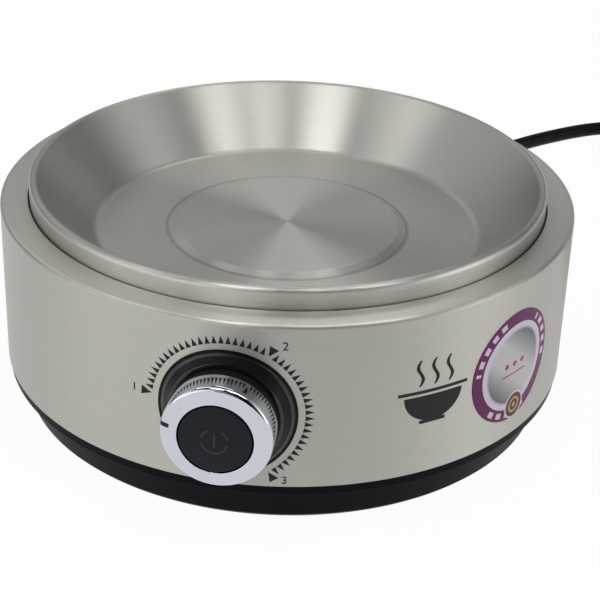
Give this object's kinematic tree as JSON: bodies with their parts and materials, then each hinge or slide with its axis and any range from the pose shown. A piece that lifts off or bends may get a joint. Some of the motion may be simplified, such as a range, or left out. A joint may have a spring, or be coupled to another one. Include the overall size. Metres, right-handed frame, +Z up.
{
  "type": "egg cooker base",
  "caption": "Round steel heating base of an electric egg cooker, with a dished water pan in its top, a dial with a push button in its middle, and a mains lead with a plug.",
  "frame": {"origin": "on the table surface, on the axis of the steel drum, which is the centre of the base without its free lead", "axes": "+Z up along the drum axis, +Y to the rear where the lead leaves, so the dial faces -Y, +X to the right as seen from the front"},
  "size_m": [0.3189, 0.4101, 0.0838],
  "materials": {
    "drum_steel": "horizontally brushed stainless sheet",
    "pan_steel": "stainless sheet with fine circular turning marks",
    "dark_silicone": "moulded silicone",
    "zinc_steel": "bright zinc plate",
    "cast_aluminium": "as cast",
    "element_sheath": "dark oxidised tube",
    "brass": "bright stamped brass",
    "ceramic": "unglazed ceramic",
    "fuse_metal": "drawn metal case",
    "shield_aluminium": "mill finish sheet",
    "black_plastic": "fine moulded texture",
    "foot_rubber": "moulded rubber",
    "cord_rubber": "satin jacket",
    "white_nylon": "natural nylon",
    "wire_colours": "coloured insulation",
    "circuit_board": "green solder mask",
    "component_plastic": "moulded epoxy",
    "button_plastic": "satin black with a faint printed symbol",
    "bezel_plastic": "satin black",
    "knob_plastic": "satin black",
    "knob_chrome": "bright plated",
    "seal_film": "printed metallised film",
    "tie_plastic": "soft black strap",
    "plug_plastic": "fine moulded texture"
  },
  "bodies": {
    "housing": {"outer_shell": "drum_steel", "heating_pan": "pan_steel", "pan_gasket": "dark_silicone", "pan_studs": "zinc_steel", "pan_nuts": "zinc_steel", "heater_plate": "cast_aluminium", "heating_element": "element_sheath", "element_tabs": "brass", "thermostat": "ceramic", "thermostat_clamp": "zinc_steel", "clamp_screws": "zinc_steel", "thermal_fuse": "fuse_metal", "fuse_clip": "zinc_steel", "heat_shield": "shield_aluminium", "shield_spacers": "ceramic", "shield_screws": "zinc_steel", "shell_brackets": "zinc_steel", "base_tray": "black_plastic", "base_screws": "zinc_steel", "foot_pads": "foot_rubber", "strain_relief": "cord_rubber", "cord_core": "cord_rubber", "cord_clamp": "white_nylon", "clamp_bolts": "zinc_steel", "terminal_block": "white_nylon", "terminal_screws": "brass", "earth_lug": "brass", "earth_screw": "zinc_steel", "mains_wires": "wire_colours", "heater_wires": "wire_colours", "board_wires": "wire_colours", "board_bracket": "zinc_steel", "bezel_screws": "zinc_steel", "control_board": "circuit_board", "board_screws": "zinc_steel", "board_parts": "component_plastic", "pot_housing": "zinc_steel", "pot_nut": "zinc_steel", "button_guide": "white_nylon", "tact_switch": "component_plastic", "knob_bezel": "bezel_plastic", "seal_label": "seal_film", "power_cord": "cord_rubber", "cord_coil": "cord_rubber", "plug_lead": "cord_rubber", "cord_tie": "tie_plastic", "plug_body": "plug_plastic", "plug_pins": "brass"},
    "knob": {"knob_base": "knob_plastic", "knob_ring": "knob_chrome", "knob_pointer": "knob_plastic", "pot_rotor": "component_plastic"},
    "button": {"power_button": "button_plastic", "button_clip": "zinc_steel", "button_spring": "zinc_steel"}
  },
  "joints": [
    {"name": "knob_turn", "type": "hinge", "parent": "housing", "child": "knob", "pos_m": [0, -0.1, 0.0448], "axis": [0, 1, 0], "range_deg": [-8, 232]},
    {"name": "button_press", "type": "slide", "parent": "housing", "child": "button", "axis": [0, 1, 0], "range_m": [0, 0.0012], "stiffness_N_per_m": 1500, "springref_m": -0.0007, "deforming": ["button_spring"]}
  ]
}
